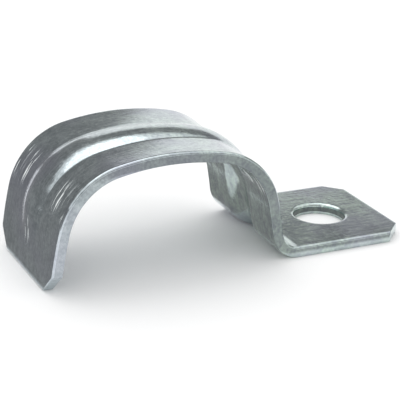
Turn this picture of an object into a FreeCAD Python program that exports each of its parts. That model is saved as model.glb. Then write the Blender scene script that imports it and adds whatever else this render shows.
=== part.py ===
import FreeCAD, Part

import math
import os

# Conduit strap with one screw hole, pressed from one strip of zinc-plated steel. Millimetres.
#
# The strip runs along +X from the free end, over the saddle, down to the foot. Y is across the
# strip, and Z is up from the mounting plane, which the foot and the free end both stand on.
# The origin is the screw hole's axis where it meets that plane.
#
# Everything is one section of the strip carried along a side profile of arcs. The section has a
# raised stiffening bead along its middle, and the bead's height and width change along the way.

# Strip
STRIP_WIDTH = 16.0
SHEET = 1.25                    # thickness
EDGE_BREAK = 0.3                # sheared-off corner along both long edges, outer face only

# Saddle, all radii on the inner face
SADDLE_HEIGHT = 12.8            # from the mounting plane to the inside of the crown
CROWN_RADIUS = 28.0
CROWN_HALF_ANGLE = 12.6         # degrees each side of the top
SHOULDER_RADIUS = 7.2
FLANK_RADIUS = 54.0
FLANK_LEAN = 12.0               # degrees from upright where a shoulder passes into its leg

# Foot
FOOT_BEND_RADIUS = 2.3          # inside the bend, on the upper face
FOOT_REACH = 14.0               # from the end of the bend to the end of the foot
HOLE_DIAMETER = 5.9
HOLE_RIM = 0.4                  # rolled-over rim on the punch side
HOLE_TO_END = 7.0               # from the hole's axis to the end of the foot

# Corners clipped off both ends of the strip
CORNER_CLIP = 2.2

# Bead
BEAD_HALF_WIDTH = 2.9
BEAD_HEIGHT = 0.45
BEAD_FOOT_RADIUS = 1.2          # hollow corner where the bead rises from the strip
BEAD_TIP_HALF_WIDTH = 1.8       # where it has run out
FREE_END_PLAIN = 3.0            # plain strip between the free end and the bead's run-out
GUSSET_HALF_WIDTH = 3.4         # the bead is widest and deepest at the middle of the foot bend
GUSSET_HEIGHT = 1.1
GUSSET_RUN_OUT = 1.8            # plain foot starts this far past the bend

STATIONS = 7                    # sections that each changing stretch is lofted through


def unit(angle):
    """Unit vector in the XZ plane at an angle in degrees from +X."""
    return FreeCAD.Vector(math.cos(math.radians(angle)), 0.0, math.sin(math.radians(angle)))


def smooth(share):
    """Smooth step from 0 to 1, level at both ends."""
    return share * share * (3.0 - 2.0 * share)


def blend(start, end, share):
    """Value that passes smoothly from start to end."""
    return start + (end - start) * smooth(share)


class Arc:
    """One arc of the side profile, measured on the inner face of the strip.

    outward is +1 where the strip's outer face is away from the centre, as over the saddle, and
    -1 where it is towards the centre, as in the foot bend.
    """

    def __init__(self, centre, radius, start, end, outward):
        self.centre = centre
        self.radius = radius
        self.start = start
        self.end = end
        self.outward = outward

    def frame(self, share):
        """Point on the inner face and the outer face's direction, at a share of the arc."""
        direction = unit(self.start + (self.end - self.start) * share)
        return self.centre + direction * self.radius, direction * self.outward

    def length(self):
        """Length of the arc on the inner face."""
        return math.radians(abs(self.end - self.start)) * self.radius

    def revolve(self, face):
        """Carry a face that stands at the arc's start round to its end."""
        return face.revolve(self.centre, FreeCAD.Vector(0, 1, 0), self.start - self.end)


class Straight:
    """The foot, a straight run along +X on the mounting plane."""

    def __init__(self, start, end):
        self.start = start
        self.end = end

    def frame(self, share):
        """Point on the underside and the upper face's direction, at a share of the run."""
        point = FreeCAD.Vector(self.start + (self.end - self.start) * share, 0, 0)
        return point, FreeCAD.Vector(0, 0, 1)

    def length(self):
        """Length of the run."""
        return self.end - self.start


def section(frame, half_width, height):
    """Closed wire of the strip's cross-section, with a bead of this half width and height.

    The bead's outer curve is one wide crest arc between two small hollow foot arcs, all tangent,
    and its inner curve is the same three arcs one sheet further in.
    """
    origin, outward = frame
    across = FreeCAD.Vector(0, 1, 0)
    side = STRIP_WIDTH / 2.0
    flat = side - EDGE_BREAK
    top = SHEET - EDGE_BREAK

    def place(y, depth):
        return origin + across * y + outward * depth

    def line(start, end):
        return Part.LineSegment(place(*start), place(*end)).toShape()

    def arc(start, middle, end):
        return Part.Arc(place(*start), place(*middle), place(*end)).toShape()

    def bead(base, foot_radius):
        """Edges of the bead's curve from +Y to -Y, rising from this depth of the section."""
        if height == 0.0:
            return [
                line((half_width, base), (half_width / 2.0, base)),
                line((half_width / 2.0, base), (-half_width / 2.0, base)),
                line((-half_width / 2.0, base), (-half_width, base)),
            ]
        slope = 2.0 * math.atan2(height, half_width)
        join = half_width - foot_radius * math.sin(slope)
        rise = foot_radius * (1.0 - math.cos(slope))
        near = half_width - foot_radius * math.sin(slope / 2.0)
        near_rise = foot_radius * (1.0 - math.cos(slope / 2.0))
        return [
            arc((half_width, base), (near, base + near_rise), (join, base + rise)),
            arc((join, base + rise), (0.0, base + height), (-join, base + rise)),
            arc((-join, base + rise), (-near, base + near_rise), (-half_width, base)),
        ]

    outer = bead(SHEET, BEAD_FOOT_RADIUS)
    inner = bead(0.0, BEAD_FOOT_RADIUS + SHEET)
    edges = [
        line((side, 0.0), (side, top)),
        line((side, top), (flat, SHEET)),
        line((flat, SHEET), (half_width, SHEET)),
        *outer,
        line((-half_width, SHEET), (-flat, SHEET)),
        line((-flat, SHEET), (-side, top)),
        line((-side, top), (-side, 0.0)),
        line((-side, 0.0), (-half_width, 0.0)),
        *reversed(inner),
        line((half_width, 0.0), (side, 0.0)),
    ]
    return Part.Wire(edges)


# Side profile, first in a frame with the crown's centre line at X = 0
crown_centre = FreeCAD.Vector(0, 0, SADDLE_HEIGHT - CROWN_RADIUS)
crown_to_shoulder = CROWN_RADIUS - SHOULDER_RADIUS
shoulder_to_flank = FLANK_RADIUS - SHOULDER_RADIUS

shoulder_left = crown_centre + unit(90 + CROWN_HALF_ANGLE) * crown_to_shoulder
shoulder_right = crown_centre + unit(90 - CROWN_HALF_ANGLE) * crown_to_shoulder
flank_left = shoulder_left - unit(180 - FLANK_LEAN) * shoulder_to_flank
flank_right = shoulder_right - unit(FLANK_LEAN) * shoulder_to_flank

# The free leg ends where its inner face meets the mounting plane, cut square to the strip
free_end_lean = math.degrees(math.asin(-flank_left.z / FLANK_RADIUS))

# The foot bend touches the right leg's outer face and the foot's upper face
bend_centre_height = SHEET + FOOT_BEND_RADIUS
leg_to_bend = FLANK_RADIUS + SHEET + FOOT_BEND_RADIUS
bend_lean = math.degrees(math.asin((bend_centre_height - flank_right.z) / leg_to_bend))
bend_centre = flank_right + unit(bend_lean) * leg_to_bend
bend_face_radius = FOOT_BEND_RADIUS + SHEET

foot_end = bend_centre.x + FOOT_REACH
hole_x = foot_end - HOLE_TO_END

free_leg = Arc(flank_left, FLANK_RADIUS, 180 - free_end_lean, 180 - FLANK_LEAN, 1)
left_shoulder = Arc(shoulder_left, SHOULDER_RADIUS, 180 - FLANK_LEAN, 90 + CROWN_HALF_ANGLE, 1)
crown = Arc(crown_centre, CROWN_RADIUS, 90 + CROWN_HALF_ANGLE, 90 - CROWN_HALF_ANGLE, 1)
right_shoulder = Arc(shoulder_right, SHOULDER_RADIUS, 90 - CROWN_HALF_ANGLE, FLANK_LEAN, 1)
right_leg = Arc(flank_right, FLANK_RADIUS, FLANK_LEAN, bend_lean, 1)
foot_bend = Arc(bend_centre, bend_face_radius, 180 + bend_lean, 270, -1)
foot = Straight(bend_centre.x, foot_end)


def changing(run, low, high, bead):
    """Stretch of a run between two shares of it, lofted through sections as the bead changes.

    bead gives the bead's half width and height at a share of the stretch.
    """
    wires = []
    for step in range(STATIONS):
        part = step / (STATIONS - 1)
        wires.append(section(run.frame(low + (high - low) * part), *bead(part)))
    return Part.makeLoft(wires, True, False)


def passing(before, after, low=0.0, high=1.0):
    """Bead that passes smoothly from one (half width, height) to another.

    low and high are the shares of that passage that the stretch starts and ends at.
    """

    def bead(part):
        share = low + (high - low) * part
        return tuple(blend(a, b, share) for a, b in zip(before, after))

    return bead


def build_strip():
    """Whole strip, before its ends are clipped and its hole is punched."""
    none = (BEAD_TIP_HALF_WIDTH, 0.0)
    full = (BEAD_HALF_WIDTH, BEAD_HEIGHT)
    gusset = (GUSSET_HALF_WIDTH, GUSSET_HEIGHT)

    plain_share = FREE_END_PLAIN / free_leg.length()
    plain_leg_end = free_leg.start + (free_leg.end - free_leg.start) * plain_share
    plain_leg = Arc(flank_left, FLANK_RADIUS, free_leg.start, plain_leg_end, 1)

    # The bead deepens down the right leg to the middle of the bend, then sinks past the bend
    half_bend = foot_bend.length() / 2.0
    to_bend = right_leg.length() / (right_leg.length() + half_bend)
    to_foot = half_bend / (half_bend + GUSSET_RUN_OUT)
    fade_share = GUSSET_RUN_OUT / foot.length()
    foot_face = Part.Face(section(foot.frame(fade_share), *none))

    runs = [
        plain_leg.revolve(Part.Face(section(plain_leg.frame(0.0), *none))),
        changing(free_leg, plain_share, 1.0, passing(none, full)),
        changing(right_leg, 0.0, 1.0, passing(full, gusset, 0.0, to_bend)),
        changing(foot_bend, 0.0, 0.5, passing(full, gusset, to_bend, 1.0)),
        changing(foot_bend, 0.5, 1.0, passing(gusset, none, 0.0, to_foot)),
        changing(foot, 0.0, fade_share, passing(gusset, none, to_foot, 1.0)),
        foot_face.extrude(FreeCAD.Vector(foot.length() * (1.0 - fade_share), 0, 0)),
    ]
    for arc in (left_shoulder, crown, right_shoulder):
        runs.append(arc.revolve(Part.Face(section(arc.frame(0.0), *full))))
    return runs[0].multiFuse(runs[1:]).removeSplitter()


def clip(end, along, through):
    """Two wedges that clip the corners of an end of the strip.

    end is the middle of the end's edge on the inner face, along points out past the end, and
    through points from the inner face to the outer one.
    """
    wedges = []
    across = FreeCAD.Vector(0, 1, 0)
    margin = SHEET
    for y_side in (1, -1):
        corner = end + across * (y_side * STRIP_WIDTH / 2.0) - through * margin
        out_y = across * (y_side * margin)
        reach = CORNER_CLIP + margin
        points = [
            corner - along * reach + out_y,
            corner + along * margin - across * (y_side * reach),
            corner + along * margin + out_y,
        ]
        wedge = Part.Face(Part.makePolygon(points + points[:1]))
        wedges.append(wedge.extrude(through * (SHEET + 2.0 * margin)))
    return wedges


def build_strap():
    """Finished strap, with the hole's axis at the origin."""
    strip = build_strip()
    free_end, free_outward = free_leg.frame(0.0)
    free_along = free_outward.cross(FreeCAD.Vector(0, 1, 0))
    if free_along.z > 0:
        free_along = -free_along
    foot_tip = FreeCAD.Vector(foot_end, 0, 0)
    up = FreeCAD.Vector(0, 0, 1)
    wedges = clip(free_end, free_along, free_outward)
    wedges += clip(foot_tip, FreeCAD.Vector(1, 0, 0), up)

    hole_base = FreeCAD.Vector(hole_x, 0, -SHEET)
    punch = Part.makeCylinder(HOLE_DIAMETER / 2.0, 3.0 * SHEET, hole_base, up)
    strap = strip.cut(Part.makeCompound(wedges)).cut(punch)

    rim = [
        edge
        for edge in strap.Edges
        if isinstance(edge.Curve, Part.Circle)
        and abs(edge.Curve.Radius - HOLE_DIAMETER / 2.0) < 1e-6
        and abs(edge.Curve.Center.z - SHEET) < 1e-6
    ]
    strap = strap.makeFillet(HOLE_RIM, rim)

    strap.translate(FreeCAD.Vector(-hole_x, 0, 0))
    return strap.Solids[0]


strap = build_strap()
os.makedirs("parts", exist_ok=True)
strap.exportStep("parts/strap.step")

print("valid", strap.isValid(), "volume mm3", round(strap.Volume, 1), "faces", len(strap.Faces))
print("inside of the crown", SADDLE_HEIGHT, "foot end to hole", HOLE_TO_END)
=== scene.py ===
import logging
import math
from collections.abc import Iterable
from dataclasses import dataclass
from enum import Enum

import bmesh
import bpy
import numpy as np
from mathutils import Matrix, Vector


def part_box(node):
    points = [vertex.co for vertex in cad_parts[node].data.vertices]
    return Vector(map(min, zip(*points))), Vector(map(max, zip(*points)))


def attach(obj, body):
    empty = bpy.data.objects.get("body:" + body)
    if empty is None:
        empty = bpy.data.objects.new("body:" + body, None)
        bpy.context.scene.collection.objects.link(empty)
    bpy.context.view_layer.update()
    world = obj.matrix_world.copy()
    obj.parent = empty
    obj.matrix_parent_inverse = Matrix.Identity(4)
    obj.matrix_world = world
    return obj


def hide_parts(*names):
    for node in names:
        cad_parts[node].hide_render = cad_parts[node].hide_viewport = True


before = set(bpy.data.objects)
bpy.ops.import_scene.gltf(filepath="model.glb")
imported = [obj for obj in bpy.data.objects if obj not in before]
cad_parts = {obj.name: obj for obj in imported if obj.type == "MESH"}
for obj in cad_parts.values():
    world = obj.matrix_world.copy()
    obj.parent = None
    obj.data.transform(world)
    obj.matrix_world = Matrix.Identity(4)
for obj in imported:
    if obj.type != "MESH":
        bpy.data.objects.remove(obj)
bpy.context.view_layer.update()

MM = 0.001
Pair = tuple[float, float]
Point = tuple[float, float, float]
Color = tuple[float, float, float]
Arrays = tuple[np.ndarray, np.ndarray]
Socket = bpy.types.NodeSocket
log = logging.getLogger("strap")


def smooth(share: np.ndarray) -> np.ndarray:
    """Smooth step from 0 to 1, level at both ends: 3 share squared less 2 share cubed."""
    share = np.clip(share, 0.0, 1.0)
    return share * share * (3.0 - 2.0 * share)


def blend(start: float, end: float, share: np.ndarray) -> np.ndarray:
    """Value that passes smoothly from start to end."""
    return start + (end - start) * smooth(share)


@dataclass(frozen=True)
class StripSizes:
    """Sizes of the pressed strip, in metres and degrees, radii on the inner face.

    dish is how far the saddle's edges rise, and inset keeps the outer face inside the solid.
    """

    width: float = 16.0 * MM
    sheet: float = 1.25 * MM
    edge_round: float = 0.3 * MM
    under_round: float = 0.1 * MM
    cut_round: float = 0.14 * MM
    saddle_height: float = 12.8 * MM
    crown_radius: float = 28.0 * MM
    crown_half_angle: float = 12.6
    shoulder_radius: float = 7.2 * MM
    flank_radius: float = 54.0 * MM
    flank_lean: float = 12.0
    bend_radius: float = 2.3 * MM
    foot_reach: float = 14.0 * MM
    hole_radius: float = 2.95 * MM
    hole_rim: float = 0.4 * MM
    hole_break: float = 0.06 * MM
    hole_to_end: float = 7.0 * MM
    corner_clip: float = 2.2 * MM
    dish: float = 0.16 * MM
    inset: float = 0.006 * MM


@dataclass(frozen=True)
class BeadSizes:
    """Sizes of the raised stiffening bead, in metres. It is deepest in the foot bend."""

    half_width: float = 2.9 * MM
    height: float = 0.45 * MM
    foot_radius: float = 1.2 * MM
    tip_half_width: float = 1.8 * MM
    free_end_plain: float = 3.0 * MM
    gusset_half_width: float = 3.4 * MM
    gusset_height: float = 1.1 * MM
    gusset_run_out: float = 1.8 * MM


@dataclass(frozen=True)
class Arc:
    """One arc of the side profile, on the strip's inner face.

    Angles are in degrees from +X. outward is +1 where the outer face is away from the centre.
    """

    centre: Pair
    radius: float
    start: float
    end: float
    outward: int

    @property
    def length(self) -> float:
        """Length along the inner face."""
        return abs(math.radians(self.end - self.start)) * self.radius

    def frame(self, along: np.ndarray) -> Arrays:
        """Points and outer directions at distances along the arc.

        Args:
            along: array of distances from the arc's start, in metres.

        Returns:
            Two arrays of (x, z), the points and the unit directions towards the outer face.
        """
        angle = np.radians(self.start + (self.end - self.start) * along / self.length)
        ray = np.stack([np.cos(angle), np.sin(angle)], axis=-1)
        return np.array(self.centre) + ray * self.radius, ray * self.outward


class SideProfile:
    """The strip's side profile: free leg, shoulder, crown, shoulder, leg, bend, straight foot."""

    def __init__(self, sizes: StripSizes) -> None:
        """Lays the tangent arcs out from the sizes, with X = 0 on the hole's axis.

        Args:
            sizes: the strip's StripSizes.
        """
        self.sizes = sizes
        crown_centre = np.array([0.0, sizes.saddle_height - sizes.crown_radius])
        to_shoulder = sizes.crown_radius - sizes.shoulder_radius
        to_flank = sizes.flank_radius - sizes.shoulder_radius
        half = sizes.crown_half_angle
        lean = sizes.flank_lean
        left = crown_centre + self.ray(90 + half) * to_shoulder
        right = crown_centre + self.ray(90 - half) * to_shoulder
        flank_left = left - self.ray(180 - lean) * to_flank
        flank_right = right - self.ray(lean) * to_flank
        free_lean = math.degrees(math.asin(-flank_left[1] / sizes.flank_radius))
        reach = sizes.flank_radius + sizes.sheet + sizes.bend_radius
        bend_z = sizes.sheet + sizes.bend_radius
        bend_lean = math.degrees(math.asin((bend_z - flank_right[1]) / reach))
        bend_centre = flank_right + self.ray(bend_lean) * reach
        hole = bend_centre[0] + sizes.foot_reach - sizes.hole_to_end
        shift = np.array([-hole, 0.0])

        def arc(centre: np.ndarray, radius: float, start: float, end: float,
                outward: int = 1) -> Arc:
            """Arc with its centre moved so that X = 0 is on the hole's axis."""
            return Arc(tuple(centre + shift), radius, start, end, outward)

        self.arcs = [
            arc(flank_left, sizes.flank_radius, 180 - free_lean, 180 - lean),
            arc(left, sizes.shoulder_radius, 180 - lean, 90 + half),
            arc(crown_centre, sizes.crown_radius, 90 + half, 90 - half),
            arc(right, sizes.shoulder_radius, 90 - half, lean),
            arc(flank_right, sizes.flank_radius, lean, bend_lean),
            arc(bend_centre, bend_z, 180 + bend_lean, 270, -1),
        ]
        self.foot_start = (bend_centre + shift)[0]
        self.joints = np.concatenate([[0.0], np.cumsum([a.length for a in self.arcs])])
        self.bend_end = self.joints[-1]
        self.length = self.bend_end + sizes.foot_reach
        self.hole_at = self.length - sizes.hole_to_end

    @staticmethod
    def ray(angle: float) -> np.ndarray:
        """Unit (x, z) vector at an angle in degrees from +X."""
        return np.array([math.cos(math.radians(angle)), math.sin(math.radians(angle))])

    def frame(self, s: np.ndarray) -> Arrays:
        """Inner-face points and outer directions at distances from the free end.

        Args:
            s: array of distances along the inner face, in metres.

        Returns:
            Two arrays of (x, z), the points and the unit directions towards the outer face.
        """
        point = np.stack([self.foot_start + s - self.bend_end, np.zeros_like(s)], axis=-1)
        out = np.stack([np.zeros_like(s), np.ones_like(s)], axis=-1)
        for arc, start, end in zip(self.arcs, self.joints[:-1], self.joints[1:]):
            inside = (s >= start) & (s < end)
            arc_point, arc_out = arc.frame(s - start)
            point = np.where(inside[..., None], arc_point, point)
            out = np.where(inside[..., None], arc_out, out)
        return point, out


class Bead:
    """The stiffening bead pressed out along the middle of the strip.

    LOWEST stands for no height at all, so that the slope of a bead that has run out is defined.
    """

    LOWEST = 1e-9

    def __init__(self, sizes: BeadSizes, strip: StripSizes, profile: SideProfile) -> None:
        """Lays the bead's stages out along the strip.

        Args:
            sizes: the BeadSizes.
            strip: the StripSizes.
            profile: the SideProfile that the bead follows.
        """
        self.sizes = sizes
        self.sheet = strip.sheet
        self.width = strip.width
        self.edge_rise = strip.dish
        self.saddle = (profile.joints[1], profile.joints[4])
        self.dish_fade = profile.joints[2] - profile.joints[1]
        leg_end, right_leg = profile.joints[1], profile.joints[4]
        middle = (profile.joints[5] + profile.joints[6]) / 2.0
        plain_foot = profile.joints[6] + sizes.gusset_run_out
        none = (sizes.tip_half_width, 0.0)
        full = (sizes.half_width, sizes.height)
        gusset = (sizes.gusset_half_width, sizes.gusset_height)
        self.stages = (
            (sizes.free_end_plain, leg_end, none, full),
            (right_leg, middle, full, gusset),
            (middle, plain_foot, gusset, none),
        )

    def along(self, s: np.ndarray) -> Arrays:
        """Half width and height of the bead, passing smoothly through its stages.

        Args:
            s: array of distances from the free end, in metres.

        Returns:
            Two arrays, the half widths and the heights, in metres.
        """
        half = np.full_like(s, self.sizes.tip_half_width)
        height = np.zeros_like(s)
        for start, end, before, after in self.stages:
            share = (s - start) / (end - start)
            reached = s > start
            half = np.where(reached, blend(before[0], after[0], share), half)
            height = np.where(reached, blend(before[1], after[1], share), height)
        return half, height

    def curve(self, s: np.ndarray, y: np.ndarray, foot_radius: float) -> np.ndarray:
        """Rise of one face over the flat strip: a hollow foot arc, a crest arc, a foot arc.

        Args:
            s: array of distances along the strip.
            y: array of distances across it, from its middle.
            foot_radius: radius of the hollow foot arcs on this face.

        Returns:
            Array of rises, in metres.
        """
        half, height = self.along(s)
        height = np.maximum(height, self.LOWEST)
        slope = 2.0 * np.arctan2(height, half)
        crest_radius = half / np.sin(slope) - foot_radius
        join = half - foot_radius * np.sin(slope)
        across = np.abs(y)
        foot = foot_radius - np.sqrt(np.maximum(foot_radius**2 - (half - across) ** 2, 0.0))
        crest = height - crest_radius + np.sign(crest_radius) * np.sqrt(
            np.maximum(crest_radius**2 - across**2, 0.0)
        )
        rise = np.where(across < join, crest, foot)
        return np.where(across < half, rise, 0.0)

    def dish(self, s: np.ndarray, y: np.ndarray) -> np.ndarray:
        """Rise of the strip's edges where the saddle is bent over: the square of the way out.

        Args:
            s: array of distances along the strip.
            y: array of distances across it, from its middle.

        Returns:
            Array of rises, in metres, none on the bead and most at the strip's edges.
        """
        half = self.sizes.half_width
        out = np.clip((np.abs(y) - half) / (self.width / 2.0 - half), 0.0, 1.0)
        start, end = self.saddle
        fade = self.dish_fade
        bent = smooth((s - start) / fade) * smooth((end - s) / fade)
        return self.edge_rise * bent * out**2

    def outer(self, s: np.ndarray, y: np.ndarray) -> np.ndarray:
        """Rise of the outer face."""
        return self.curve(s, y, self.sizes.foot_radius) + self.dish(s, y)

    def inner(self, s: np.ndarray, y: np.ndarray) -> np.ndarray:
        """Rise of the inner face, one sheet further in than the outer one."""
        return self.curve(s, y, self.sizes.foot_radius + self.sheet) + self.dish(s, y)


class StripSkin:
    """Fine mesh of the whole pressed strip: both faces, rolled edges, clipped corners and hole.

    The strip is laid out flat as (s, y), rows across it and columns along it, with extra rows
    and columns in the rounded edges. A square of it around the hole is a ring grid instead,
    whose rows pass from the square to the circle. Each flat point is then carried to the side
    profile and pushed out by the bead's rise. The steps are the rows' spacing in each stretch.
    """

    LAYERS = 5
    RING_HALF = 4.4 * MM
    RINGS = 12
    RING_CROWDING = 1.3
    WALL_ROWS = 4
    MIDDLE_COLUMNS = 49
    SIDE_COLUMNS = 19
    STEP = 0.2 * MM
    LEG_STEP = 0.22 * MM
    CROWN_STEP = 0.25 * MM
    BEND_STEP = 0.12 * MM
    HOLE_STEP = 0.275 * MM
    NARROW_STEP = 0.1 * MM
    FEWEST_ROWS = 2

    def __init__(self, strip: StripSizes, profile: SideProfile, bead: Bead) -> None:
        """Keeps what the skin is made from.

        Args:
            strip: the StripSizes.
            profile: the SideProfile.
            bead: the Bead.
        """
        self.strip = strip
        self.profile = profile
        self.bead = bead

    def rounding(self, gap: np.ndarray, radius: float) -> np.ndarray:
        """How far a face drops at a distance from an edge rounded with this radius."""
        inside = np.clip(radius - gap, 0.0, radius)
        return radius - np.sqrt(radius**2 - inside**2)

    def drop(self, s: np.ndarray, y: np.ndarray, radial: np.ndarray | None = None) -> Arrays:
        """Drop of the outer and inner faces at flat points, for every edge near them.

        Args:
            s: array of distances along the strip.
            y: array of distances across it.
            radial: array of distances outside the hole's wall, or None away from the hole.

        Returns:
            Two arrays, the outer face's drop and the inner face's.
        """
        size = self.strip
        side = size.width / 2.0 - np.abs(y)
        from_end = np.minimum(s, self.profile.length - s)
        clipped = (from_end + side - size.corner_clip) / math.sqrt(2.0)
        cut = np.minimum(from_end, clipped)
        ends = self.rounding(cut, size.cut_round)
        outer = np.maximum(self.rounding(side, size.edge_round), ends)
        inner = np.maximum(self.rounding(side, size.under_round), ends)
        if radial is not None:
            outer = np.maximum(outer, self.rounding(radial, size.hole_rim))
            inner = np.maximum(inner, self.rounding(radial, size.hole_break))
        return outer, inner

    def place(self, s: np.ndarray, y: np.ndarray, depth: np.ndarray) -> np.ndarray:
        """Points in the part's frame for flat points.

        Args:
            s: array of distances along the strip.
            y: array of distances across it.
            depth: array of heights above the inner face.

        Returns:
            Array of (x, y, z), in metres.
        """
        point, out = self.profile.frame(s)
        spot = point + out * depth[..., None]
        return np.stack([spot[..., 0], y, spot[..., 1]], axis=-1)

    def faces(self, s: np.ndarray, y: np.ndarray, radial: np.ndarray | None = None) -> Arrays:
        """Both faces' points for a grid of flat points.

        Args:
            s: array of distances along the strip.
            y: array of distances across it.
            radial: array of distances outside the hole's wall, or None away from the hole.

        Returns:
            Two arrays of (x, y, z), the outer face's points and the inner face's.
        """
        outer_drop, inner_drop = self.drop(s, y, radial)
        outer_depth = self.strip.sheet + self.bead.outer(s, y) - outer_drop
        inner_depth = self.bead.inner(s, y) + inner_drop
        inset = self.strip.inset
        return self.place(s, y, outer_depth - inset), self.place(s, y, inner_depth)

    def layers(self, radius: float) -> np.ndarray:
        """Distances from an edge that step round its rounding by even angles."""
        turn = np.linspace(0.0, math.pi / 2.0, self.LAYERS)
        return radius * (1.0 - np.cos(turn))

    def rows(self) -> np.ndarray:
        """Distances along the strip of all rows, finer through the bend and at both ends.

        Returns:
            Array of distances from the free end, in metres.
        """
        size = self.strip
        joints = self.profile.joints
        end = self.profile.length
        hole = self.profile.hole_at
        layer = self.layers(size.cut_round)
        ring_start, ring_end = hole - self.RING_HALF, hole + self.RING_HALF
        stops = [
            (layer[-1], size.corner_clip, self.STEP),
            (size.corner_clip, joints[1], self.LEG_STEP),
            (joints[1], joints[2], self.STEP),
            (joints[2], joints[3], self.CROWN_STEP),
            (joints[3], joints[4], self.STEP),
            (joints[4], joints[5], self.STEP),
            (joints[5], joints[6], self.BEND_STEP),
            (joints[6], ring_start, self.STEP),
            (ring_start, ring_end, self.HOLE_STEP),
            (ring_end, end - size.corner_clip, self.NARROW_STEP),
            (end - size.corner_clip, end - layer[-1], self.STEP),
        ]
        runs = [layer[:-1]]
        for low, high, step in stops:
            count = max(self.FEWEST_ROWS, round((high - low) / step))
            runs.append(np.linspace(low, high, count, endpoint=False))
        runs.append(end - layer[::-1])
        return np.concatenate(runs)

    def columns(self, s: np.ndarray) -> np.ndarray:
        """Distances across the strip of all columns at each row, as a grid.

        Args:
            s: array of row distances.

        Returns:
            Array with a row of column distances for each s.
        """
        size = self.strip
        from_end = np.minimum(s, self.profile.length - s)
        pinch = np.clip(size.corner_clip - from_end, 0.0, None)
        half = size.width / 2.0 - pinch
        edge = np.where(pinch > 0.0, size.cut_round * math.sqrt(2.0), size.edge_round)
        layer = self.layers(1.0)
        flat = size.width / 2.0 - size.edge_round
        middle = np.linspace(-self.RING_HALF, self.RING_HALF, self.MIDDLE_COLUMNS)
        outside = np.linspace(self.RING_HALF, flat, self.SIDE_COLUMNS)[1:-1]
        inner = np.concatenate([-outside[::-1], middle, outside]) / flat
        left = -half[:, None] + edge[:, None] * layer[None, :]
        right = half[:, None] - edge[:, None] * layer[None, ::-1]
        return np.concatenate([left, (half - edge)[:, None] * inner[None, :], right], axis=1)

    def ring_points(
        self, s_rows: np.ndarray, y_columns: np.ndarray
    ) -> tuple[np.ndarray, np.ndarray, np.ndarray]:
        """Ring grid from the square's boundary to the hole's wall.

        Args:
            s_rows: row distances inside the square.
            y_columns: column distances inside the square.

        Returns:
            Arrays s, y and radial, each with a row per ring, from the square inwards.
        """
        size = self.strip
        s_low, s_high = s_rows[0], s_rows[-1]
        y_low, y_high = y_columns[0], y_columns[-1]
        loop_s = np.concatenate([
            np.full(len(y_columns) - 1, s_low), s_rows[:-1],
            np.full(len(y_columns) - 1, s_high), s_rows[:0:-1],
        ])
        loop_y = np.concatenate([
            y_columns[:0:-1], np.full(len(s_rows) - 1, y_low),
            y_columns[:-1], np.full(len(s_rows) - 1, y_high),
        ])
        centre = self.profile.hole_at
        reach = np.hypot(loop_s - centre, loop_y)
        along_s, along_y = (loop_s - centre) / reach, loop_y / reach
        start = size.hole_radius + size.hole_rim
        shares = np.linspace(1.0, 0.0, self.RINGS) ** self.RING_CROWDING
        outside = start + (reach[None, :] - start) * shares[:, None]
        rim = size.hole_radius + self.layers(size.hole_rim)[-2::-1]
        near = size.hole_radius + np.array([size.hole_break, 0.0])
        rim = np.concatenate([rim[rim > near[0]], near])
        radius = np.concatenate([outside, np.repeat(rim[:, None], len(reach), axis=1)])
        return centre + along_s * radius, along_y * radius, radius - size.hole_radius

    def build(self) -> bpy.types.Mesh:
        """Builds the closed mesh.

        Returns:
            The new mesh, smooth shaded, with a UV map named strip.
        """
        rows = self.rows()
        columns = self.columns(rows)
        s = np.repeat(rows[:, None], columns.shape[1], axis=1)
        outer, inner = self.faces(s, columns)
        sheet = Patchwork()

        near = np.isclose
        hole = self.profile.hole_at
        first = int(np.argmax(near(rows, hole - self.RING_HALF)))
        last = int(np.argmax(near(rows, hole + self.RING_HALF)))
        plain = columns[first]
        low = int(np.argmax(near(plain, -self.RING_HALF)))
        high = int(np.argmax(near(plain, self.RING_HALF)))
        keep = np.ones((len(rows) - 1, columns.shape[1] - 1), dtype=bool)
        keep[first:last, low:high] = False
        sheet.grid(outer, s, columns, keep, flip=True)
        sheet.grid(inner, s, columns, keep)

        ring_s, ring_y, radial = self.ring_points(rows[first : last + 1], plain[low : high + 1])
        ring_outer, ring_inner = self.faces(ring_s, ring_y, radial)
        sheet.grid(ring_outer, ring_s, ring_y, closed=True, flip=True)
        sheet.grid(ring_inner, ring_s, ring_y, closed=True)

        steps = np.linspace(0.0, 1.0, self.WALL_ROWS)[:, None, None]
        wall = ring_outer[-1] * (1 - steps) + ring_inner[-1] * steps
        self.wall(sheet, wall, ring_s[-1], ring_y[-1])
        edge = self.border(outer) * (1 - steps) + self.border(inner) * steps
        self.wall(sheet, edge, self.border(s), self.border(columns))
        return sheet.mesh("strap_skin", self.profile.length, self.strip.width)

    @staticmethod
    def border(grid: np.ndarray) -> np.ndarray:
        """Values round a grid's four sides, in order and without repeats."""
        return np.concatenate([grid[0, :-1], grid[:-1, -1], grid[-1, :0:-1], grid[:0:-1, 0]])

    @staticmethod
    def wall(sheet: "Patchwork", points: np.ndarray, s: np.ndarray, y: np.ndarray) -> None:
        """Adds the closed wall between the two faces' borders.

        Args:
            sheet: the Patchwork that it joins.
            points: array of rows by columns by 3, from the outer face to the inner one.
            s: distances along the strip of one row's points.
            y: distances across it of one row's points.
        """
        flat_s, flat_y = (np.tile(line, (len(points), 1)) for line in (s, y))
        sheet.grid(points, flat_s, flat_y, closed=True, flip=True)


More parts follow.
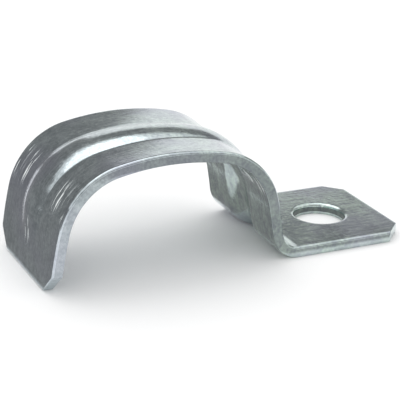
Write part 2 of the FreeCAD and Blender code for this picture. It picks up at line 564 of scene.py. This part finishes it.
class Patchwork:
    """Grids of points joined into one closed mesh, merged where they are within MERGE metres."""

    MERGE = 2e-6

    def __init__(self) -> None:
        """Starts empty."""
        self.points = []
        self.flat = []
        self.quads = []
        self.count = 0

    def grid(self, points: np.ndarray, s: np.ndarray, y: np.ndarray,
             keep: np.ndarray | None = None, closed: bool = False, flip: bool = False) -> None:
        """Adds a grid of quads.

        Args:
            points: array of rows by columns by 3.
            s: the points' distances along the strip.
            y: the points' distances across it.
            keep: which quads are made, or None for all.
            closed: whether the last column joins the first.
            flip: whether the quads face the other way.
        """
        rows, columns = points.shape[:2]
        index = np.arange(rows * columns).reshape(rows, columns) + self.count
        if closed:
            index = np.concatenate([index, index[:, :1]], axis=1)
        quads = np.stack([index[:-1, :-1], index[1:, :-1], index[1:, 1:], index[:-1, 1:]], axis=-1)
        quads = quads.reshape(-1, 4) if keep is None else quads[keep]
        self.quads.append(quads[:, ::-1] if flip else quads)
        self.points.append(points.reshape(-1, 3))
        self.flat.append(np.stack([s, y], axis=-1).reshape(-1, 2))
        self.count += rows * columns

    def mesh(self, name: str, length: float, width: float) -> bpy.types.Mesh:
        """Joins everything, merges coincident points and makes normals point outwards.

        Args:
            name: the mesh's name.
            length: strip length that the UV map's first axis covers.
            width: strip width that its second axis covers.

        Returns:
            The mesh.
        """
        points = np.concatenate(self.points)
        quads = np.concatenate(self.quads)
        flat = np.concatenate(self.flat)
        mesh = bpy.data.meshes.new(name)
        mesh.from_pydata(points.tolist(), [], quads.tolist())
        uv = mesh.uv_layers.new(name="strip")
        loops = np.empty(len(mesh.loops), dtype=np.int32)
        mesh.loops.foreach_get("vertex_index", loops)
        share = flat[loops] / np.array([length, width]) + np.array([0.0, 0.5])
        uv.data.foreach_set("uv", share.astype(np.float32).ravel())
        work = bmesh.new()
        work.from_mesh(mesh)
        bmesh.ops.remove_doubles(work, verts=work.verts, dist=self.MERGE)
        bmesh.ops.recalc_face_normals(work, faces=work.faces)
        work.to_mesh(mesh)
        open_edges = sum(1 for edge in work.edges if len(edge.link_faces) != 2)
        work.free()
        mesh.polygons.foreach_set("use_smooth", np.ones(len(mesh.polygons), dtype=bool))
        mesh.update()
        log.info("%s: %d points, %d quads, %d open edges", name, len(mesh.vertices),
                 len(mesh.polygons), open_edges)
        return mesh


class Nodes:
    """Short calls to build a shader's node tree."""

    def __init__(self, tree: bpy.types.NodeTree) -> None:
        """Keeps the node tree, and empties it."""
        self.tree = tree
        tree.nodes.clear()

    def add(self, kind: str, inputs: dict | None = None, **settings: object) -> bpy.types.Node:
        """Adds a node, sets its properties, and fills or links its inputs.

        Args:
            kind: the node's type name.
            inputs: values or output sockets by input name or number.
            settings: the node's own properties.

        Returns:
            The node.
        """
        node = self.tree.nodes.new(kind)
        for key, value in settings.items():
            setattr(node, key, value)
        for key, value in (inputs or {}).items():
            if isinstance(value, bpy.types.NodeSocket):
                self.tree.links.new(value, node.inputs[key])
            else:
                node.inputs[key].default_value = value
        return node

    def span(self, value: Socket, low: float, high: float,
             to_low: float = 0.0, to_high: float = 1.0) -> Socket:
        """Value mapped from one range to another, and held at its ends.

        Args:
            value: the output socket to map.
            low: the value that gives to_low.
            high: the value that gives to_high.
            to_low: result at low.
            to_high: result at high.

        Returns:
            The output socket.
        """
        node = self.add("ShaderNodeMapRange", {
            "Value": value, "From Min": low, "From Max": high, "To Min": to_low, "To Max": to_high,
        })
        return node.outputs["Result"]

    def math(self, operation: str, *values: Socket | float) -> Socket:
        """Result of one arithmetic step on values or outputs."""
        return self.add("ShaderNodeMath", dict(enumerate(values)), operation=operation).outputs[0]

    def weighted(self, values: tuple[Socket, ...], weights: tuple[float, ...]) -> Socket:
        """Sum of outputs, each times its weight.

        Args:
            values: the output sockets.
            weights: one weight for each.

        Returns:
            The output socket.
        """
        parts = [self.math("MULTIPLY", value, weight) for value, weight in zip(values, weights)]
        total = parts[0]
        for part in parts[1:]:
            total = self.math("ADD", total, part)
        return total

    def scaled(self, vector: Socket, scale: Point) -> Socket:
        """Vector scaled on each axis."""
        return self.add("ShaderNodeMapping", {"Vector": vector, "Scale": scale}).outputs["Vector"]

    def mix(self, share: Socket, first: object, second: object, kind: str = "RGBA") -> Socket:
        """Mix of two colours or values.

        Args:
            share: how much of the second, from 0 to 1.
            first: colour, value or output socket.
            second: colour, value or output socket.
            kind: RGBA for colours, or FLOAT for values.

        Returns:
            The output socket.
        """
        node = self.add("ShaderNodeMix", data_type=kind)
        sockets = {"FLOAT": ("Factor_Float", "A_Float", "B_Float", "Result_Float"),
                   "RGBA": ("Factor_Float", "A_Color", "B_Color", "Result_Color")}[kind]
        inputs = {socket.identifier: socket for socket in node.inputs}
        for name, value in zip(sockets[:3], (share, first, second)):
            if isinstance(value, bpy.types.NodeSocket):
                self.tree.links.new(value, inputs[name])
            else:
                inputs[name].default_value = value
        return next(out for out in node.outputs if out.identifier == sockets[3])

    def noise(self, vector: Socket, scale: float, detail: float, roughness: float) -> Socket:
        """Noise over a vector.

        Args:
            vector: the output socket of coordinates.
            scale: cycles per unit of the vector.
            detail: octaves of finer noise.
            roughness: how strongly each finer octave counts.

        Returns:
            The output socket.
        """
        node = self.add("ShaderNodeTexNoise", {
            "Vector": vector, "Scale": scale, "Detail": detail, "Roughness": roughness,
        })
        return node.outputs["Fac"]


@dataclass(frozen=True)
class RubMarkAndHighlight:
    """A patch of short scratch streaks along the strip, part press-tool wear, part painted
    highlight.

    Places and reaches are in metres: along from the free end, and out from the strip's middle.
    """

    along: float
    along_reach: float
    out: float
    out_reach: float


@dataclass(frozen=True)
class PressMarksAndHighlights:
    """Where the marks go: scratches with painted highlight on both shoulders, painted highlight at
    the bead's tip.

    A reach is how far a mark goes along the strip and how far across it.
    """

    shoulder_in: float = 2.9 * MM
    shoulder_out: Pair = (4.8 * MM, 7.0 * MM)
    shoulder_reach: Pair = (2.0 * MM, 1.0 * MM)
    tip_in: float = 1.4 * MM
    tip_reach: Pair = (1.8 * MM, 0.9 * MM)

    def build(self, profile: SideProfile, bead: BeadSizes) -> list[RubMarkAndHighlight]:
        """Lays the marks out along the strip.

        Args:
            profile: the SideProfile.
            bead: the BeadSizes.

        Returns:
            The patches of scratches and painted highlight, the shoulders' first.
        """
        shoulders = (profile.joints[1] + self.shoulder_in, profile.joints[4] - self.shoulder_in)
        along, across = self.shoulder_reach
        marks = [
            RubMarkAndHighlight(place, along, out, across)
            for place in shoulders
            for out in self.shoulder_out
        ]
        along, across = self.tip_reach
        # The patch at the bead's tip is a painted highlight where the bead runs out.
        marks.append(RubMarkAndHighlight(bead.free_end_plain + self.tip_in, along, 0.0, across))
        return marks


@dataclass(frozen=True)
class ZincFinish:
    """Bright zinc plate over cold-rolled steel: cloudy, faintly blue to green, finely streaked.

    Scales are in cycles per metre. Each detail is a noise's octaves and how strongly they count.
    Each span is the pair of values between which that effect grows from none to all.
    """

    name: str = "zinc_plate"
    dark: Color = (0.42, 0.475, 0.50)
    cool: Color = (0.65, 0.72, 0.75)
    green: Color = (0.66, 0.78, 0.71)
    green_from: float = -34.0 * MM
    green_to: float = -8.0 * MM
    violet: Color = (0.50, 0.50, 0.62)
    violet_most: float = 0.5
    violet_span: Pair = (0.46, 0.64)
    # Near-white colour and lowered metal of the marks: scratch wear painted bright as a painted
    # highlight.
    scratch_and_highlight: Color = (0.86, 0.90, 0.90)
    scratch_roughness: float = 0.45
    scratch_and_highlight_metal: float = 0.2
    scratch_span: Pair = (0.54, 0.59)
    scratch_core: float = 0.4
    roughness: Pair = (0.10, 0.19)
    roughness_span: Pair = (0.7, 1.3)
    shade_weights: tuple = (0.45, 0.55, 0.35, 0.4)
    shade_span: Pair = (0.72, 1.03)
    cloud_scale: float = 240.0
    cloud_detail: Pair = (3.0, 0.55)
    blotch_scale: float = 900.0
    violet_scale: float = 108.0
    violet_detail: Pair = (2.0, 0.5)
    grain_scale: float = 2600.0
    fine_detail: Pair = (2.0, 0.6)
    streak_stretch: Point = (12.0, 60.0, 1.0)
    streak_detail: Pair = (3.0, 0.6)
    scratch_stretch: Point = (17.0, 40.0, 1.0)
    bump: float = 0.22
    bump_depth: float = 0.03 * MM

    def patch(self, nodes: Nodes, axes: Iterable, mark: RubMarkAndHighlight, strip: Pair) -> Socket:
        """How far inside a patch of scratches and painted highlight a point is, from 0 to 1.

        Args:
            nodes: the Nodes helper.
            axes: the strip UV map's two outputs, along and across.
            mark: the patch's place and reach.
            strip: length and width of the strip.

        Returns:
            The output socket.
        """
        length, width = strip
        middle = nodes.math("SUBTRACT", axes[0], mark.along / length)
        near = nodes.math("ABSOLUTE", middle)
        core = self.scratch_core * mark.along_reach / length
        near = nodes.span(near, mark.along_reach / length, core)
        side = nodes.math("ABSOLUTE", nodes.math("SUBTRACT", axes[1], 0.5))
        off = nodes.math("ABSOLUTE", nodes.math("SUBTRACT", side, mark.out / width))
        core = self.scratch_core * mark.out_reach / width
        off = nodes.span(off, mark.out_reach / width, core)
        return nodes.math("MULTIPLY", near, off)

    def build(self, marks: list[RubMarkAndHighlight], strip: Pair) -> bpy.types.Material:
        """marks: the patches of scratches and painted highlight.

        Args:
            marks: the RubMarks.
            strip: length and width of the strip, in metres.

        Returns:
            The material, on object coordinates and on the skin's own strip UV map.
        """
        material = bpy.data.materials.new(self.name)
        material.use_nodes = True
        nodes = Nodes(material.node_tree)
        space = nodes.add("ShaderNodeTexCoord").outputs["Object"]
        flat = nodes.add("ShaderNodeUVMap", uv_map="strip").outputs["UV"]
        axes = nodes.add("ShaderNodeSeparateXYZ", {0: flat}).outputs
        cloud = nodes.noise(space, self.cloud_scale, *self.cloud_detail)
        blotch = nodes.noise(space, self.blotch_scale, *self.fine_detail)
        patch = nodes.noise(space, self.violet_scale, *self.violet_detail)
        grain = nodes.noise(space, self.grain_scale, *self.fine_detail)
        streak = nodes.noise(nodes.scaled(flat, self.streak_stretch), 1.0, *self.streak_detail)
        scratch = nodes.noise(nodes.scaled(flat, self.scratch_stretch), 1.0, *self.fine_detail)

        shade = nodes.weighted((blotch, grain, streak, cloud), self.shade_weights)
        place = nodes.add("ShaderNodeSeparateXYZ", {0: space}).outputs[0]
        greenish = nodes.span(place, self.green_from, self.green_to)
        light = nodes.mix(greenish, (*self.cool, 1.0), (*self.green, 1.0))
        base = nodes.mix(nodes.span(shade, *self.shade_span), (*self.dark, 1.0), light)
        tint = nodes.span(patch, *self.violet_span, 0.0, self.violet_most)
        base = nodes.mix(tint, base, (*self.violet, 1.0))

        # Mask of the marks, partly scratch wear and partly painted highlight.
        inside = self.patch(nodes, axes, marks[0], strip)
        for mark in marks[1:]:
            inside = nodes.math("MAXIMUM", inside, self.patch(nodes, axes, mark, strip))
        deep = nodes.span(scratch, *self.scratch_span)
        scratch_and_highlight = nodes.math("MULTIPLY", deep, inside)
        base = nodes.mix(scratch_and_highlight, base, (*self.scratch_and_highlight, 1.0))
        # Less metal lets the near-white colour show as a painted highlight.
        metal = nodes.span(scratch_and_highlight, 0.0, 1.0, 1.0, self.scratch_and_highlight_metal)
        uneven = nodes.math("ADD", cloud, streak)
        rough = nodes.span(uneven, *self.roughness_span, *self.roughness)
        rough = nodes.mix(scratch_and_highlight, rough, self.scratch_roughness, "FLOAT")
        height = nodes.math("ADD", nodes.math("ADD", grain, blotch), streak)
        bump = nodes.add("ShaderNodeBump", {
            "Height": height, "Strength": self.bump, "Distance": self.bump_depth,
        })
        shader = nodes.add("ShaderNodeBsdfPrincipled", {
            "Base Color": base, "Metallic": metal, "Roughness": rough,
            "Normal": bump.outputs["Normal"],
        })
        nodes.add("ShaderNodeOutputMaterial", {"Surface": shader.outputs[0]})
        return material


@dataclass(frozen=True)
class View:
    """The camera: where it stands, which way it looks in radians, and its lens in millimetres."""

    place: Point = (-81.52 * MM, -132.17 * MM, 62.97 * MM)
    turn: float = 0.462
    dip: float = 0.3734
    roll: float = 0.0354
    lens: float = 127.25
    sensor: float = 36.0
    nearest: float = 0.01
    farthest: float = 20.0

    def build(self) -> bpy.types.Object:
        """Makes the camera and sets it as the scene's.

        Returns:
            The camera object.
        """
        ahead = Vector((
            math.sin(self.turn) * math.cos(self.dip),
            math.cos(self.turn) * math.cos(self.dip),
            -math.sin(self.dip),
        ))
        level = Vector((math.cos(self.turn), -math.sin(self.turn), 0.0))
        upright = level.cross(ahead)
        right = level * math.cos(self.roll) + upright * math.sin(self.roll)
        up = upright * math.cos(self.roll) - level * math.sin(self.roll)
        data = bpy.data.cameras.new("camera")
        data.lens = self.lens
        data.sensor_width = self.sensor
        data.clip_start = self.nearest
        data.clip_end = self.farthest
        camera = bpy.data.objects.new("camera", data)
        bpy.context.scene.collection.objects.link(camera)
        turned = Matrix((right, up, -ahead)).transposed().to_4x4()
        camera.matrix_world = Matrix.Translation(self.place) @ turned
        bpy.context.scene.camera = camera
        return camera


class Softbox(Enum):
    """Soft lamps: middle, what they face, width, depth, and brightness beside plain white."""

    OVERHEAD = ((-0.06, 0.17, 0.40), (-0.02, 0.0, 0.0), 0.46, 0.30, 0.95)


class Card(Enum):
    """Grey cards that only the metal's reflections show.

    Each has one corner, the edges along its two sides, and its brightness beside plain white.
    """

    TABLE_BESIDE = ((-0.6, -0.0065, 0.0003), (0.5638, 0.0, 0.0), (0.0, 0.0200, 0.0), 0.27)
    TABLE_LEFT = ((-0.6, 0.0120, 0.0004), (0.5638, 0.0, 0.0), (-0.07, 0.588, 0.0), 0.27)
    TABLE_UNDER = ((-0.0149, -0.0095, 0.0005), (0.0051, 0.0, 0.0), (0.0, 0.6085, 0.0), 0.28)
    TABLE_HOLE = ((-0.0045, -0.0045, 0.0003), (0.0090, 0.0, 0.0), (0.0, 0.0090, 0.0), 0.22)
    TABLE_FRONT = ((-0.0365, -0.6, 0.0003), (0.6, 0.0, 0.0), (0.0, 0.5917, 0.0), 0.46)
    TABLE_FRONT_LEFT = ((-0.0365, -0.07, 0.0004), (0.0185, 0.0, 0.0), (0.0, 0.0617, 0.0), 0.78)
    LEFT_WALL = ((-0.6, -0.4, 0.0), (0.0, 0.81, 0.0), (0.0, 0.0, 0.26), 0.27)
    BACK_LEFT_WALL = ((-0.61, 0.400, -0.02), (0.59, 0.0, 0.0), (0.0, 0.0, 0.41), 0.25)
    BACK_MIDDLE_WALL = ((-0.05, 0.402, 0.07), (0.125, 0.0, 0.0), (0.0, 0.0, 0.32), 0.26)
    BACK_WALL = ((0.045, 0.404, 0.16), (0.6, 0.0, 0.0), (0.0, 0.0, 0.23), 0.26)
    RIGHT_WALL = ((0.6, -0.45, 0.08), (0.0, 0.8, 0.0), (0.0, 0.0, 0.30), 0.40)
    FRONT_WALL = ((-0.45, -0.5, 0.12), (1.0, 0.0, 0.0), (0.0, 0.0, 0.30), 0.35)


class Studio:
    """Pale floor, white surroundings, an overhead softbox and grey cards for the metal.

    Lengths are in metres. The soft values are how wide a card's faded edges are.
    """

    FLOOR = (0.95, 0.95, 0.95)
    FLOOR_SIDE = 3.0
    TABLE_SOFT = 0.0006
    WALL_SOFT = 0.02

    def link(self, thing: bpy.types.Object) -> bpy.types.Object:
        """Adds an object to the scene."""
        bpy.context.scene.collection.objects.link(thing)
        return thing

    def panel(self, name: str, corners: list) -> tuple[bpy.types.Object, Nodes]:
        """Makes a flat four-cornered stage object with an empty material.

        Args:
            name: the object's name.
            corners: its corners in order, in metres.

        Returns:
            The object and its material's Nodes helper.
        """
        mesh = bpy.data.meshes.new(name)
        mesh.from_pydata(corners, [], [(0, 1, 2, 3)])
        material = bpy.data.materials.new(name)
        material.use_nodes = True
        mesh.materials.append(material)
        panel = self.link(bpy.data.objects.new(name, mesh))
        return panel, Nodes(material.node_tree)

    def floor(self, level: float) -> None:
        """Makes the floor.

        Args:
            level: its height, in metres.
        """
        side = self.FLOOR_SIDE
        corners = [(-side, -side, level), (side, -side, level), (side, side, level),
                   (-side, side, level)]
        nodes = self.panel("floor", corners)[1]
        shader = nodes.add("ShaderNodeBsdfDiffuse", {"Color": (*self.FLOOR, 1.0)})
        nodes.add("ShaderNodeOutputMaterial", {"Surface": shader.outputs[0]})

    def card(self, name: str, corner: Point, along: Point, up: Point, level: float,
             soft: float) -> None:
        """Makes a grey card whose edges fade out.

        Args:
            name: the card's name.
            corner: its first corner.
            along: its first side, as a vector.
            up: its second side, as a vector.
            level: its brightness beside plain white.
            soft: how wide its faded edges are, in metres.
        """
        first, side, rise = Vector(corner), Vector(along), Vector(up)
        corners = [first, first + side, first + side + rise, first + rise]
        panel, nodes = self.panel(name, corners)
        edges = panel.data.uv_layers.new(name="edges").data
        reach = (side.length, rise.length)
        for loop, (across, over) in zip(edges, ((0, 0), (1, 0), (1, 1), (0, 1))):
            loop.uv = (across * reach[0], over * reach[1])
        flat = nodes.add("ShaderNodeUVMap", uv_map="edges").outputs["UV"]
        axes = nodes.add("ShaderNodeSeparateXYZ", {0: flat}).outputs
        shares = []
        for axis, size in zip(axes, reach):
            inside = nodes.math("MINIMUM", axis, nodes.math("SUBTRACT", size, axis))
            shares.append(nodes.span(inside, 0.0, soft))
        share = nodes.math("MULTIPLY", *shares)
        clear = nodes.add("ShaderNodeBsdfTransparent")
        grey = nodes.add("ShaderNodeEmission", {"Color": (level, level, level, 1.0)})
        mixed = nodes.add("ShaderNodeMixShader", {
            0: share, 1: clear.outputs[0], 2: grey.outputs[0],
        })
        nodes.add("ShaderNodeOutputMaterial", {"Surface": mixed.outputs[0]})
        panel.visible_camera = False
        panel.visible_diffuse = False
        panel.visible_shadow = False

    def cards(self) -> None:
        """Makes the grey cards, those on the table with narrow soft edges."""
        for card in Card:
            corner, along, up, level = card.value
            soft = self.WALL_SOFT if up[2] else self.TABLE_SOFT
            self.card(card.name.lower(), corner, along, up, level, soft)

    def lamps(self) -> None:
        """Makes the soft lamps."""
        for box in Softbox:
            place, target, width, depth, level = box.value
            data = bpy.data.lights.new(box.name.lower(), "AREA")
            data.shape = "RECTANGLE"
            data.size = width
            data.size_y = depth
            data.energy = level * math.pi * width * depth
            lamp = self.link(bpy.data.objects.new(box.name.lower(), data))
            lamp.location = place
            aim = Vector(target) - Vector(place)
            lamp.rotation_euler = aim.to_track_quat("-Z", "Y").to_euler()

    def world(self) -> None:
        """Surrounds everything with plain white."""
        world = bpy.data.worlds.new("studio")
        world.use_nodes = True
        nodes = Nodes(world.node_tree)
        white = nodes.add("ShaderNodeBackground", {"Color": (1, 1, 1, 1), "Strength": 1.0})
        nodes.add("ShaderNodeOutputWorld", {"Surface": white.outputs[0]})
        bpy.context.scene.world = world

    def build(self, level: float) -> None:
        """Sets the whole stage.

        Args:
            level: the floor's height, in metres.
        """
        self.floor(level)
        self.cards()
        self.lamps()
        self.world()
        bpy.context.scene.view_settings.view_transform = "Standard"


def main() -> None:
    """Builds the strap's skin, its finish, the stage and the camera."""
    logging.basicConfig(level=logging.INFO, format="%(name)s %(message)s")
    strip = StripSizes()
    profile = SideProfile(strip)
    bead_sizes = BeadSizes()
    mesh = StripSkin(strip, profile, Bead(bead_sizes, strip, profile)).build()
    # Patches of scratches brightened into painted highlights, and a painted highlight at the
    # bead's tip.
    marks = PressMarksAndHighlights().build(profile, bead_sizes)
    mesh.materials.append(ZincFinish().build(marks, (profile.length, strip.width)))
    skin = bpy.data.objects.new("strap_skin", mesh)
    bpy.context.scene.collection.objects.link(skin)
    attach(skin, "root")
    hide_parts("strap")
    low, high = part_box("strap")
    log.info("CAD box %s %s", low, high)
    Studio().build(low[2])
    View().build()


if __name__ == "__main__":
    main()
